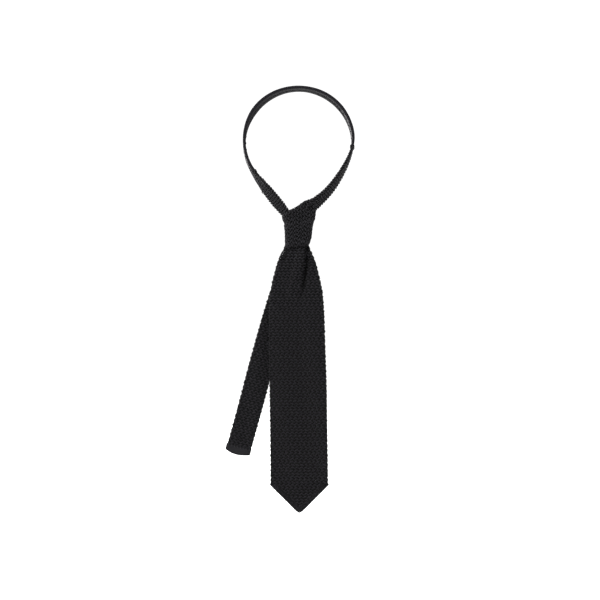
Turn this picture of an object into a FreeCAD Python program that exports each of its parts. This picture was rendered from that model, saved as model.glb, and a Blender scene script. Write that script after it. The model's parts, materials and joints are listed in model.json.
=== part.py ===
import FreeCAD, Part
from FreeCAD import Vector
import math
import os

# A knitted necktie, tied in a four-in-hand knot and held upright.
# Units are millimetres. +Z is up and the face of the tie looks along -Y.
# The origin is the middle of the knot's flat back, which sits on the shirt's top button.
# The shapes are laid out about the knot's middle plane, and moved forward at the end.

# ---------------------------------------------------------------- driving dimensions
BLADE_WIDTH = 60.0          # wide end, across its parallel sides
BLADE_DROP = 298.0          # knot centre to the point of the wide end
TIP_ANGLE = 45.0            # slope of the two edges that form the point
TIP_BLUNT = 4.0             # flat across the very point
LEFT_FLARE = [(-14.5, -20.0), (-19.5, -28.0), (-25.0, -46.0), (-30.0, -74.0)]
RIGHT_FLARE = [(13.0, -20.0), (19.0, -40.0), (25.5, -72.0), (28.0, -105.0), (30.0, -165.0)]
TAIL_WIDTH = 25.0           # narrow end, across its end
TAIL_NECK = 14.0            # and where it leaves the knot
TAIL_FULL = 150.0           # it is full width from here down, along it
TAPE_HEIGHT = 7.7           # woven tape that binds its end
TAPE_BOW = 1.5              # the tape's corners are this much above its lowest point
TAIL_REACH = 246.5          # knot centre to the end of the narrow end, along it
TAIL_LEAN = 15.1            # narrow end, away from straight down
KNIT = 1.7                  # one layer of knitted silk
LAYER_GAP = 0.3             # clear space between two layers of cloth
STITCH = 0.9                # sewing and bar-tack thread, laid double
STITCH_GAP = 0.12           # clear space between a stitch and the cloth it lies on

KNOT_HALF_DEPTH = 11.0      # middle plane to the face of the knot
KNOT_BACK = 10.8            # middle plane to its back, pressed flat by the collar
KNOT_CORNER = 7.0           # outer corner radius of the knot's section
# Knot sections from the foot to the head: height, centre in X, half width.
KNOT_SECTIONS = [(-24.0, -1.8, 12.6), (-10.0, -0.7, 13.2), (6.0, -0.4, 15.2), (30.0, 0.0, 18.4)]
KNOT_FOOT = (-22.6, 0.14)   # foot line: height at X = 0, rise per mm of X
KNOT_HEAD = (21.5, 0.25)    # head line: height at X = 0, rise per mm of X
KNOT_TOP_FOLD = 4.2         # height where the front wrap's upper edge covers the top fold
KNOT_WALL = 2.4             # the wrap's cloth, gathered to more than one layer
BLADE_PASS = (7.5, 22.0)    # gathered wide end inside the knot: half width, and how high it goes
TAIL_PASS = (5.0, 14.0)     # the same of the narrow end
KNOT_PIVOT_RADIUS = 29.0    # both ends of the tie leave the knot on this arc

LOOP_RADIUS = 56.8          # centre line of the neck band, over the top
LOOP_CENTRE = (0.6, 90.6)   # X and Z of that arc's centre
BAND_DEPTH = 25.0           # width of the folded neck band, which stands on edge
BAND_THICK = 4.0
SATIN = 0.7                 # woven satin of the neck band
STRAP_THICK = 9.5           # knitted strap at the tilt fold, in the loop's plane
STRAP_DEPTH = 8.4           # and along Y
STRAP_FLAT = 1.9            # strap's flattened end, inside the knot
STRAP_FLAT_WIDE = 12.0      # and its width there
BAND_LEFT_END = (-47.6, 60.0)    # where the satin is joined to the left strap
BAND_RIGHT_END = (57.2, 85.0)    # where the satin is joined to the right strap

# ---------------------------------------------------------------- layers, front to back
BLADE_FRONT_Y = -7.2                                   # face of the wide end
BLADE_MID_Y = BLADE_FRONT_Y + KNIT + LAYER_GAP / 2     # between its two layers
BLADE_BACK_Y = BLADE_FRONT_Y + 2 * KNIT + LAYER_GAP    # back of the wide end
TAIL_FRONT_Y = 1.6                                     # face of the narrow end
TAIL_MID_Y = TAIL_FRONT_Y + KNIT + LAYER_GAP / 2
TAIL_BACK_Y = TAIL_FRONT_Y + 2 * KNIT + LAYER_GAP

# ---------------------------------------------------------------- hinges
HINGE_CLEARANCE = 0.15      # radial, on each side of a hinge's round edge
LIFT_Z = -56.0              # the wide end lifts forward here
BEND_Z = -142.0             # and bends forward here
CLOTH_HINGE_RADIUS = 4.2    # round edge of a bend through two layers of knit
TAIL_BEND_REACH = 88.0      # knot centre to the narrow end's bend, along it
TILT_Z = 35.0               # the neck loop tilts back here
TILT_HINGE_RADIUS = 6.2

# ---------------------------------------------------------------- sewing and trimmings
SEAM_PITCH = 6.0            # slip stitches down the centre-back seams
SEAM_STITCH = 4.2           # their length
BAR_TACK_Z = -236.0         # bars of thread where the wide end's seam ends
BAR_TACK_WIDE = 7.0
SHORT_STITCH = 2.4          # stitches over the neck band's joins and the tape's edge
HEM_DEPTH = 9.0             # turned-up hem behind the point's slanting edges
HEM_INSET = 1.2             # the hem's outer edge is this far inside them
HEM_THICK = 0.8
TRIM_GAP = 0.1              # clear space between the back of the wide end and what lies on it
KEEPER_Z = -180.0           # middle of the loop that keeps the narrow end behind the wide one
KEEPER_TALL = 12.0
KEEPER_SPAN = 36.0          # between its two sewn-down feet
KEEPER_FOOT = 5.0           # width of each foot
KEEPER_THICK = 0.9
KEEPER_STAND = 2.6          # how far it bows away from the wide end

FAR = 400.0                 # longer than the tie, for cutting shapes

HALF_BLADE = BLADE_WIDTH / 2
TAPE_TOP = -TAIL_REACH + TAPE_HEIGHT
SHOULDER_Z = -BLADE_DROP + (HALF_BLADE - TIP_BLUNT / 2) * math.tan(math.radians(TIP_ANGLE))


def slab(x0, x1, y0, y1, z0, z1):
    """Box between two corners."""
    return Part.makeBox(x1 - x0, y1 - y0, z1 - z0, Vector(x0, y0, z0))


def polygon_face(points, y):
    """Flat face in the plane at y, through (x, z) points."""
    corners = [Vector(x, y, z) for x, z in points]
    return Part.Face(Part.makePolygon(corners + corners[:1]))


def sheet(edges, y0, y1):
    """Cloth layer: a closed run of edges in the plane y = 0, thickened from y0 to y1."""
    face = Part.Face(Part.Wire(edges))
    face.translate(Vector(0, y0, 0))
    return face.extrude(Vector(0, y1 - y0, 0))


def line(a, b):
    return Part.makeLine(Vector(a[0], 0, a[1]), Vector(b[0], 0, b[1]))


def smooth(points):
    """Smooth edge through (x, z) points."""
    curve = Part.BSplineCurve()
    curve.interpolate([Vector(x, 0, z) for x, z in points])
    return curve.toShape()


def disc(radius):
    """Long round bar along Y, through the knot's centre."""
    return Part.makeCylinder(radius, 2 * FAR, Vector(0, -FAR, 0), Vector(0, 1, 0))


def roller(y, z, radius):
    """Long round bar along X: the round edge of a fold."""
    return Part.makeCylinder(radius, 2 * FAR, Vector(-FAR, y, z), Vector(1, 0, 0))


def split_at_fold(shape, y, z, radius):
    """Parts a cloth shape at a fold along X. The part below moves: it keeps a round edge
    about the fold line, and the part above is hollowed to clear it."""
    moving_side = slab(-FAR, FAR, -FAR, FAR, z - FAR, z)
    moving_zone = moving_side.fuse(roller(y, z, radius - HINGE_CLEARANCE))
    fixed_cut = moving_side.fuse(roller(y, z, radius + HINGE_CLEARANCE))
    return one_solid(shape.cut(fixed_cut)), one_solid(shape.common(moving_zone))


def one_solid(shape):
    """The largest solid of a result, which drops slivers left by a cut."""
    return max(shape.Solids, key=lambda solid: solid.Volume)


def rounded_section(centre, half_x, half_y, corner):
    """Rounded rectangle in the XY plane at a height, as one wire."""
    cx, cy, z = centre
    inner_x = half_x - corner
    inner_y = half_y - corner
    edges = []
    for turn in range(4):
        start = math.radians(90 * turn)
        sx = 1 if turn in (0, 3) else -1
        sy = 1 if turn in (0, 1) else -1
        corner_centre = Vector(cx + sx * inner_x, cy + sy * inner_y, z)
        arc = Part.ArcOfCircle(
            Part.Circle(corner_centre, Vector(0, 0, 1), corner), start, start + math.pi / 2
        )
        if edges:
            edges.append(Part.makeLine(edges[-1].lastVertex().Point, arc.StartPoint))
        edges.append(arc.toShape())
    edges.append(Part.makeLine(edges[-1].lastVertex().Point, edges[0].firstVertex().Point))
    return Part.Wire(edges)


# ---------------------------------------------------------------- knot

def knot_prism(inset):
    """Body of the knot: rounded sections, narrow at the foot and wide at the head."""
    wires = [
        rounded_section((cx, 0, z), half - inset, KNOT_HALF_DEPTH - inset, KNOT_CORNER - inset)
        for z, cx, half in KNOT_SECTIONS
    ]
    return Part.makeLoft(wires, True, True)


def between_head_and_foot(shape):
    """Trims the knot to its sloping head and foot lines."""
    wide = 60.0
    foot_z, foot_rise = KNOT_FOOT
    head_z, head_rise = KNOT_HEAD
    points = [
        (-wide, foot_z - wide * foot_rise),
        (wide, foot_z + wide * foot_rise),
        (wide, head_z + wide * head_rise),
        (-wide, head_z - wide * head_rise),
    ]
    keep = polygon_face(points, -FAR).extrude(Vector(0, 2 * FAR, 0))
    return shape.common(keep)


def make_knot():
    """Two wraps and the top fold, and the two ends of the tie that pass through them."""
    sleeve = between_head_and_foot(knot_prism(0).cut(knot_prism(KNOT_WALL)))
    half_gap = LAYER_GAP / 2
    front_lower = slab(-FAR, FAR, -FAR, -half_gap, -FAR, KNOT_TOP_FOLD - half_gap)
    front_upper = slab(-FAR, FAR, -FAR, -half_gap, KNOT_TOP_FOLD + half_gap, FAR)
    back_half = slab(-FAR, FAR, half_gap, KNOT_BACK, -FAR, FAR)
    exit_disc = disc(KNOT_PIVOT_RADIUS - HINGE_CLEARANCE)
    blade_half, blade_head = BLADE_PASS
    tail_half, tail_head = TAIL_PASS
    blade_pass = slab(-blade_half, blade_half, BLADE_FRONT_Y, BLADE_BACK_Y, -FAR, blade_head)
    blade_pass = blade_pass.common(exit_disc)
    tail_pass = slab(-tail_half, tail_half, TAIL_FRONT_Y, TAIL_BACK_Y, -FAR, tail_head)
    tail_pass.rotate(Vector(0, 0, 0), Vector(0, 1, 0), TAIL_LEAN)
    tail_pass = tail_pass.common(exit_disc)
    return {
        "knot_front_wrap": one_solid(sleeve.common(front_lower)),
        "knot_top_fold": one_solid(sleeve.common(front_upper)),
        "knot_back_wrap": one_solid(sleeve.common(back_half)),
        "blade_pass_through": one_solid(blade_pass),
        "tail_pass_through": one_solid(tail_pass),
    }


# ---------------------------------------------------------------- neck loop and straps

def loop_path():
    """Centre line of the loop in the XZ plane: from the knot's mouth up the left strap,
    round the neck on an arc, and down the right strap."""
    cx, cz = LOOP_CENTRE
    left = [(-13.5, 18.0), (-26.5, 32.0), (-38.6, 48.0), (-50.0, 65.5)]
    over = [
        (cx - LOOP_RADIUS * math.cos(math.radians(a)), cz + LOOP_RADIUS * math.sin(math.radians(a)))
        for a in range(0, 181, 30)
    ]
    right = [(49.5, 66.5), (38.6, 48.0), (24.5, 33.0), (11.0, 22.5)]
    return smooth(left + over + right).Curve


LOOP = loop_path()           # one smooth curve, measured along from its left end


def loop_length_at(point):
    """Distance along the loop of the place nearest to an (x, z) point."""
    parameter = LOOP.parameter(Vector(point[0], 0, point[1]))
    return LOOP.length(LOOP.FirstParameter, parameter)


LEFT_SEAM = loop_length_at(BAND_LEFT_END)
RIGHT_SEAM = loop_length_at(BAND_RIGHT_END)


def loop_place(distance):
    """A point of the loop, the direction along it there, and the direction outwards."""
    parameter = LOOP.parameterAtDistance(distance, LOOP.FirstParameter)
    along = Vector(*LOOP.tangent(parameter)[0])
    return LOOP.value(parameter), along, Vector(-along.z, 0, along.x)


def strap_section(distance, thick, depth, offset=0.0):
    """Section across the loop: thick in the XZ plane, depth along Y."""
    centre, _, outward = loop_place(distance)
    centre = centre + outward * offset
    half = outward * (thick / 2)
    side = Vector(0, depth / 2, 0)
    corners = [centre + half + side, centre + half - side, centre - half - side, centre - half + side]
    return Part.makePolygon(corners + corners[:1])


def loop_tube(start, end, thick, depth, offset=0.0):
    """Solid of one constant section along a stretch of the loop."""
    stations = 17
    step = (end - start) / (stations - 1)
    wires = [strap_section(start + step * i, thick, depth, offset) for i in range(stations)]
    return Part.makeLoft(wires, True, False)


def strap_blank(seam, tilt):
    """A knitted strap above the tilt fold: on edge at the satin, gathered at the fold.
    It ends a little past the fold, where it is trimmed."""
    past_fold = tilt + math.copysign(TILT_HINGE_RADIUS + 0.8, tilt - seam)
    stations = 9
    wires = []
    for i in range(stations):
        distance = seam + (past_fold - seam) * i / (stations - 1)
        share = min(1.0, abs(distance - seam) / (abs(tilt - seam) - TILT_HINGE_RADIUS))
        ease = share * share * (3 - 2 * share)
        thick = BAND_THICK + (STRAP_THICK - BAND_THICK) * ease
        depth = BAND_DEPTH + (STRAP_DEPTH - BAND_DEPTH) * ease
        wires.append(strap_section(distance, thick, depth))
    return Part.makeLoft(wires, True, True)


def strap_end(head, mouth, foot, y):
    """The strap's flat end, which runs down inside the knot: level sections at the fold,
    at the knot's mouth and at the strap's very end, inside."""
    wires = []
    level_thick = STRAP_THICK * 0.6        # half the strap's thickness, cut level
    half_flat = STRAP_FLAT_WIDE / 2
    for (x, z), half_wide, deep, layer in (
        (head, level_thick, STRAP_DEPTH, 0.0), (mouth, half_flat, STRAP_FLAT, y),
        (foot, half_flat, STRAP_FLAT, y),
    ):
        corners = [
            Vector(x - half_wide, layer - deep / 2, z), Vector(x + half_wide, layer - deep / 2, z),
            Vector(x + half_wide, layer + deep / 2, z), Vector(x - half_wide, layer + deep / 2, z),
        ]
        wires.append(Part.makePolygon(corners + corners[:1]))
    return Part.makeLoft(wires, True, True)


def make_straps():
    """Each strap parts at the fold where the neck loop tilts."""
    above = slab(-FAR, FAR, -FAR, FAR, TILT_Z, FAR)
    seam_gap = LAYER_GAP / 2
    # Each strap at the fold, at the knot's mouth and at its foot, and the layer it lies in.
    left_fold, left_mouth, left_foot, left_y = (-28.8, TILT_Z), (-7.5, 20.5), (-3.0, -15.0), 0.1
    right_fold, right_mouth, right_foot, right_y = (26.6, TILT_Z), (7.5, 27.0), (3.0, -15.0), -2.1
    left = strap_blank(LEFT_SEAM - seam_gap, loop_length_at(left_fold))
    right = strap_blank(RIGHT_SEAM + seam_gap, loop_length_at(right_fold))
    left_end = strap_end(left_fold, left_mouth, left_foot, left_y)
    right_end = strap_end(right_fold, right_mouth, right_foot, right_y)
    pieces = {}
    for side, blank, end in (("left", left, left_end), ("right", right, right_end)):
        blank = blank.common(above)
        knuckle = blank.common(roller(0, TILT_Z, TILT_HINGE_RADIUS - HINGE_CLEARANCE))
        clear = roller(0, TILT_Z, TILT_HINGE_RADIUS + HINGE_CLEARANCE)
        pieces[side + "_strap_upper"] = one_solid(blank.cut(clear))
        pieces[side + "_strap_lower"] = one_solid(end.fuse(knuckle))
    return pieces


def make_neck_band():
    """Folded satin over an interlining strip, closed by slip stitches on its inner face."""
    past = 1.0                             # cutting shapes run past both joins
    outer = loop_tube(LEFT_SEAM, RIGHT_SEAM, BAND_THICK, BAND_DEPTH)
    inside = loop_tube(
        LEFT_SEAM - past, RIGHT_SEAM + past, BAND_THICK - 2 * SATIN, BAND_DEPTH - 2 * SATIN
    )
    slit = loop_tube(LEFT_SEAM - past, RIGHT_SEAM + past, SATIN + 0.4, LAYER_GAP,
                     offset=-(BAND_THICK - SATIN) / 2)
    cover = outer.cut(inside).cut(slit)
    lining_gap = SATIN + LAYER_GAP / 2
    lining_short = 1.5                     # the interlining stops short of each join
    interlining = loop_tube(
        LEFT_SEAM + lining_short, RIGHT_SEAM - lining_short, BAND_THICK - 2 * lining_gap,
        BAND_DEPTH - 2 * lining_gap,
    )
    return {"neck_band_cover": one_solid(cover), "neck_band_interlining": one_solid(interlining)}


def slip_stitches(offset):
    """Slanted stitches along the middle of the neck band, one solid each."""
    count, length, slant, clear_of_join = 22, 2.6, 1.2, 6.0
    start, end = LEFT_SEAM + clear_of_join, RIGHT_SEAM - clear_of_join
    stitches = []
    for i in range(count):
        centre, along, outward = loop_place(start + (end - start) * (i + 0.5) / count)
        across = (Vector(0, 1, 0) + along * slant).normalize()
        foot = centre + outward * offset - across * (length / 2)
        stitches.append(Part.makeCylinder(STITCH / 2, length, foot, across))
    return Part.makeCompound(stitches)


def join_stitch(seam, offset, y):
    """One stitch over a join of satin and knit, lying along the loop."""
    centre, along, outward = loop_place(seam)
    foot = centre + outward * offset + Vector(0, y, 0) - along * (SHORT_STITCH / 2)
    return Part.makeCylinder(STITCH / 2, SHORT_STITCH, foot, along)


def make_band_seams():
    """The band's slip-stitched seam, and the stitches over its two joins."""
    on_face = BAND_THICK / 2 + STITCH / 2 + STITCH_GAP
    pieces = {"neck_band_slip_stitches": slip_stitches(-on_face)}
    for side, seam in (("left", LEFT_SEAM), ("right", RIGHT_SEAM)):
        stitches = [
            join_stitch(seam, offset, y)
            for offset in (-on_face, on_face)
            for y in (-9.0, -4.5, 0.0, 4.5, 9.0)
        ]
        pieces[side + "_join_stitches"] = Part.makeCompound(stitches)
    return pieces


# ---------------------------------------------------------------- wide end

def blade_outline():
    """Edges of the wide end in the plane y = 0: flared below the knot, parallel sides,
    and a square-cornered point with a small blunt tip."""
    right_shoulder, left_shoulder = (HALF_BLADE, SHOULDER_Z), (-HALF_BLADE, SHOULDER_Z)
    right_tip, left_tip = (TIP_BLUNT / 2, -BLADE_DROP), (-TIP_BLUNT / 2, -BLADE_DROP)
    return [
        line(LEFT_FLARE[0], RIGHT_FLARE[0]),
        smooth(RIGHT_FLARE),
        line(RIGHT_FLARE[-1], right_shoulder),
        line(right_shoulder, right_tip),
        line(right_tip, left_tip),
        line(left_tip, left_shoulder),
        line(left_shoulder, LEFT_FLARE[-1]),
        smooth(LEFT_FLARE),
    ]


def blade_stretches(layer, name):
    """Parts one layer of the wide end at its two folds."""
    neck, rest = split_at_fold(layer, BLADE_MID_Y, LIFT_Z, CLOTH_HINGE_RADIUS)
    upper, lower = split_at_fold(rest, BLADE_MID_Y, BEND_Z, CLOTH_HINGE_RADIUS)
    return {
        "blade_neck_" + name: neck,
        "blade_upper_" + name: upper,
        "blade_lower_" + name: lower,
    }


def make_blade():
    """Front layer and the two flaps that fold behind it and meet on the centre line."""
    below_exit = disc(KNOT_PIVOT_RADIUS + HINGE_CLEARANCE)
    front = sheet(blade_outline(), BLADE_FRONT_Y, BLADE_FRONT_Y + KNIT).cut(below_exit)
    back = sheet(blade_outline(), BLADE_FRONT_Y + KNIT + LAYER_GAP, BLADE_BACK_Y).cut(below_exit)
    seam_gap = LAYER_GAP / 2
    pieces = blade_stretches(front, "front")
    for side, x0, x1 in (("left", -FAR, -seam_gap), ("right", seam_gap, FAR)):
        flap = back.common(slab(x0, x1, -FAR, FAR, -FAR, FAR))
        pieces.update(blade_stretches(flap, "back_" + side))
    return pieces


def centre_seam(z_top, z_bottom, y):
    """Slanted slip stitches that close the two back flaps, one solid each."""
    stitches = []
    along = Vector(0.55, 0, -1).normalize()
    for i in range(int((z_top - z_bottom) / SEAM_PITCH)):
        middle = Vector(0, y, z_top - SEAM_PITCH * (i + 0.5))
        foot = middle - along * (SEAM_STITCH / 2)
        stitches.append(Part.makeCylinder(STITCH / 2, SEAM_STITCH, foot, along))
    return Part.makeCompound(stitches)


def bar_tack(y):
    """Three close bars of thread that end the centre seam."""
    bars = []
    for i in range(3):
        foot = Vector(-BAR_TACK_WIDE / 2, y, BAR_TACK_Z - i * (STITCH + TRIM_GAP))
        bars.append(Part.makeCylinder(STITCH / 2, BAR_TACK_WIDE, foot, Vector(1, 0, 0)))
    return Part.makeCompound(bars)


def tip_hems():
    """The turned-up hem behind the two slanting edges of the point: one strip on each
    side, which meet at a mitre on the centre line."""
    rise = HEM_DEPTH * 1.3                 # the strip's depth, measured straight up
    shoulder_x = HALF_BLADE - HEM_INSET
    tip_z = -BLADE_DROP + HEM_INSET * 1.4
    mitre_x = 0.4
    points = [(shoulder_x, SHOULDER_Z), (TIP_BLUNT / 2, tip_z), (mitre_x, tip_z),
              (mitre_x, tip_z + rise), (shoulder_x, SHOULDER_Z + rise)]
    right = polygon_face(points, BLADE_BACK_Y + TRIM_GAP).extrude(Vector(0, HEM_THICK, 0))
    left = right.mirror(Vector(0, 0, 0), Vector(1, 0, 0))
    return Part.makeCompound([left, right])


def hem_stitches():
    """Stitches along the inner edge of the turned-up hem, from the mitre outwards."""
    y = BLADE_BACK_Y + TRIM_GAP + HEM_THICK + STITCH / 2 + STITCH_GAP
    first_x, pitch, length = 3.2, 4.2, 2.6
    stitches = []
    for side in (-1, 1):
        for i in range(6):
            x = first_x + i * pitch
            foot = Vector(side * x, y, -BLADE_DROP + HEM_DEPTH - 0.5 + x)
            along = Vector(side, 0, 0.35).normalize()
            stitches.append(Part.makeCylinder(STITCH / 2, length, foot, along))
    return Part.makeCompound(stitches)


def keeper_band():
    """Plain loop behind the wide end that the narrow end can pass through: a strip with
    two flat feet and a bowed middle."""
    half = KEEPER_SPAN / 2
    rise = 3.0                             # width of the slope between a foot and the middle
    y_low = BLADE_BACK_Y + TRIM_GAP
    y_foot = y_low + KEEPER_THICK
    y_high = y_low + KEEPER_STAND
    end = half + KEEPER_FOOT
    right = [
        (half - rise, y_high), (half, y_foot), (end, y_foot), (end, y_low),
        (half + 0.4, y_low), (half - rise - 0.2, y_high - KEEPER_THICK),
    ]
    left = [(-x, y) for x, y in reversed(right)]
    corners = [Vector(x, y, KEEPER_Z - KEEPER_TALL / 2) for x, y in right + left]
    return Part.Face(Part.makePolygon(corners + corners[:1])).extrude(Vector(0, 0, KEEPER_TALL))


def keeper_stitches():
    """Four stitches through each foot of the keeper."""
    y = BLADE_BACK_Y + TRIM_GAP + KEEPER_THICK + STITCH / 2 + STITCH_GAP
    length, count = 2.6, 4
    stitches = []
    for side in (-1, 1):
        x = side * (KEEPER_SPAN + KEEPER_FOOT) / 2 - length / 2
        for i in range(count):
            z = KEEPER_Z + KEEPER_TALL * ((i + 0.5) / count - 0.5)
            stitches.append(
                Part.makeCylinder(STITCH / 2, length, Vector(x, y, z), Vector(1, 0, 0))
            )
    return Part.makeCompound(stitches)


def make_blade_details():
    """Sewing and trimmings on the back of the wide end. The seam's stitches keep clear of
    both folds, and stop at the keeper and the bar tack."""
    thread_y = BLADE_BACK_Y + STITCH / 2 + STITCH_GAP
    keeper_clear = KEEPER_TALL / 2 + 4.0
    above_keeper = centre_seam(BEND_Z - 8, KEEPER_Z + keeper_clear, thread_y)
    below_keeper = centre_seam(KEEPER_Z - keeper_clear, BAR_TACK_Z + 4.0, thread_y)
    return {
        "blade_seam_upper": centre_seam(LIFT_Z - 9, BEND_Z + 8, thread_y),
        "blade_seam_lower": Part.makeCompound(above_keeper.Solids + below_keeper.Solids),
        "blade_bar_tack": bar_tack(thread_y),
        "blade_tip_hem": tip_hems(),
        "blade_hem_stitches": hem_stitches(),
        "keeper_loop": keeper_band(),
        "keeper_stitches": keeper_stitches(),
    }


# ---------------------------------------------------------------- narrow end

def tail_outline():
    """Edges of the narrow end, modelled hanging straight down."""
    neck, half = TAIL_NECK / 2, TAIL_WIDTH / 2
    top, full, bottom = -20.0, -TAIL_FULL, TAPE_TOP + LAYER_GAP
    return [
        line((-neck, top), (neck, top)),
        line((neck, top), (half, full)),
        line((half, full), (half, bottom)),
        line((half, bottom), (-half, bottom)),
        line((-half, bottom), (-half, full)),
        line((-half, full), (-neck, top)),
    ]


def tape_outline():
    """Edges of the tape that binds the narrow end, with a slightly bowed end."""
    half = TAIL_WIDTH / 2
    corner_z = -TAIL_REACH + TAPE_BOW
    bow = Part.Arc(
        Vector(half, 0, corner_z), Vector(0, 0, -TAIL_REACH), Vector(-half, 0, corner_z)
    )
    return [
        line((-half, TAPE_TOP), (half, TAPE_TOP)),
        line((half, TAPE_TOP), (half, corner_z)),
        bow.toShape(),
        line((-half, corner_z), (-half, TAPE_TOP)),
    ]


def tape_stitches():
    """Stitches that hold the tape to the knit, front and back."""
    z = TAPE_TOP + LAYER_GAP / 2 - SHORT_STITCH / 2
    lift = STITCH / 2 + STITCH_GAP
    count = 7
    stitches = []
    for y in (TAIL_FRONT_Y - lift, TAIL_BACK_Y + lift):
        for i in range(count):
            x = TAIL_WIDTH * ((i + 0.5) / count - 0.5)
            foot = Vector(x, y, z)
            stitches.append(Part.makeCylinder(STITCH / 2, SHORT_STITCH, foot, Vector(0, 0, 1)))
    return Part.makeCompound(stitches)


def make_tail():
    """Two layers, parted at the bend, then leaned about the knot's centre."""
    below_exit = disc(KNOT_PIVOT_RADIUS + HINGE_CLEARANCE)
    pieces = {}
    for name, y0, y1 in (
        ("front", TAIL_FRONT_Y, TAIL_FRONT_Y + KNIT),
        ("back", TAIL_FRONT_Y + KNIT + LAYER_GAP, TAIL_BACK_Y),
    ):
        layer = sheet(tail_outline(), y0, y1).cut(below_exit)
        upper, lower = split_at_fold(layer, TAIL_MID_Y, -TAIL_BEND_REACH, CLOTH_HINGE_RADIUS)
        pieces["tail_upper_" + name] = upper
        pieces["tail_lower_" + name] = lower
    seam_y = TAIL_BACK_Y + STITCH / 2 + STITCH_GAP
    clear_of_fold = 8.0
    pieces["tail_seam_upper"] = centre_seam(-36.0, -TAIL_BEND_REACH + clear_of_fold, seam_y)
    pieces["tail_seam_lower"] = centre_seam(
        -TAIL_BEND_REACH - clear_of_fold, -TAIL_REACH + 22.0, seam_y
    )
    pieces["tail_end_tape"] = one_solid(sheet(tape_outline(), TAIL_FRONT_Y, TAIL_BACK_Y))
    pieces["tail_tape_stitches"] = tape_stitches()
    for shape in pieces.values():
        shape.rotate(Vector(0, 0, 0), Vector(0, 1, 0), TAIL_LEAN)
    return pieces


def main():
    os.makedirs("parts", exist_ok=True)
    pieces = {}
    for make in (make_knot, make_straps, make_neck_band, make_band_seams, make_blade,
                 make_blade_details, make_tail):
        pieces.update(make())
    for name, shape in pieces.items():
        shape.translate(Vector(0, -KNOT_BACK, 0))
        shape.exportStep(f"parts/{name}.step")


main()
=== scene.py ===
import json
import math

import bpy
import numpy as np
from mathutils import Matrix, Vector


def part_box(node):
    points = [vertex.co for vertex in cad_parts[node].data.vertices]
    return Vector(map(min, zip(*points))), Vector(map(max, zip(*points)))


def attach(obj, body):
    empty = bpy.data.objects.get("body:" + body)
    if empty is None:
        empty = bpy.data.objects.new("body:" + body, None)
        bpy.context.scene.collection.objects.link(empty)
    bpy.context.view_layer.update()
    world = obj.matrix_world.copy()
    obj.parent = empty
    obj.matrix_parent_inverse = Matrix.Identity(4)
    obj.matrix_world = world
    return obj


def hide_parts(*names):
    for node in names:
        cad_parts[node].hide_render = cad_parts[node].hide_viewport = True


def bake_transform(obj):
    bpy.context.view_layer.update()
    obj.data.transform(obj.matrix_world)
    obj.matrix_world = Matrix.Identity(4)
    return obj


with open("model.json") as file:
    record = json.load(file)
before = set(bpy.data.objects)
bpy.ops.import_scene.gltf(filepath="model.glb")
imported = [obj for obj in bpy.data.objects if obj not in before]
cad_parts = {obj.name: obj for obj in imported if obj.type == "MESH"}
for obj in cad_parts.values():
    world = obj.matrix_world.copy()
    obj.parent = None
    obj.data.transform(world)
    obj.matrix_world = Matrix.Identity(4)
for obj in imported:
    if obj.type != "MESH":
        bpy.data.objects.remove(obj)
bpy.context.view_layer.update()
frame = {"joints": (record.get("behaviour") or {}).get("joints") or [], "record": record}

# A knitted necktie. Every length is in millimetres, and meshes are made in metres.
MM = 0.001

# ---------------- places, from the frame


def box(node):
    """Lowest and highest corner of a CAD node, in millimetres."""
    low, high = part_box(node)
    return np.array(low) / MM, np.array(high) / MM


def joint_place(name):
    """The place of a hinge, in millimetres."""
    return np.array(next(j["pos_m"] for j in frame["joints"] if j["name"] == name)) / MM


BLADE_LOW, BLADE_HIGH = box("blade_lower_front")
BLADE_BACK = box("blade_lower_back_left")[1][1]
BLADE_MIDDLE = (BLADE_LOW[1] + BLADE_BACK) / 2
BLADE_HALF = (BLADE_HIGH[0] - BLADE_LOW[0]) / 2
TIP_Z = BLADE_LOW[2]
LIFT_Z = joint_place("blade_lift")[2]
BEND_Z = joint_place("blade_bend")[2]
TAIL_MIDDLE = joint_place("tail_swing")[1]
TAIL_BEND = joint_place("tail_bend")
TAIL_LEAN = math.atan2(-TAIL_BEND[0], -TAIL_BEND[2])
TAIL_BEND_REACH = math.hypot(TAIL_BEND[0], TAIL_BEND[2])
TILT_Z = joint_place("loop_tilt")[2]
BAND_LOW, BAND_HIGH = box("neck_band_cover")
MIDDLE_Y = (BAND_LOW[1] + BAND_HIGH[1]) / 2
BAND_WIDTH = BAND_HIGH[1] - BAND_LOW[1]
TAPE_CENTRE = np.mean(box("tail_end_tape"), axis=0)
TAPE_DROP = 4.6      # from the tape's centre to its foot
TAIL_REACH = math.hypot(TAPE_CENTRE[0], TAPE_CENTRE[2]) + TAPE_DROP

# ---------------- small mathematics


def unit(vectors):
    """The same directions, each of length 1."""
    return vectors / np.linalg.norm(vectors, axis=-1, keepdims=True)


def points_at(x, y, z):
    """Points from their three coordinates, each a number or an array."""
    return np.stack(np.broadcast_arrays(x, y, z), axis=-1)


def run_along(points):
    """Distance to each point along a line of them, or along each column of a grid."""
    steps = np.linalg.norm(np.diff(points, axis=0), axis=-1)
    return np.cumsum(np.concatenate([0 * steps[:1], steps]), axis=0)


def ease(value):
    """0 to 1, level at both ends."""
    value = np.clip(value, 0, 1)
    return value * value * (3 - 2 * value)


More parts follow.
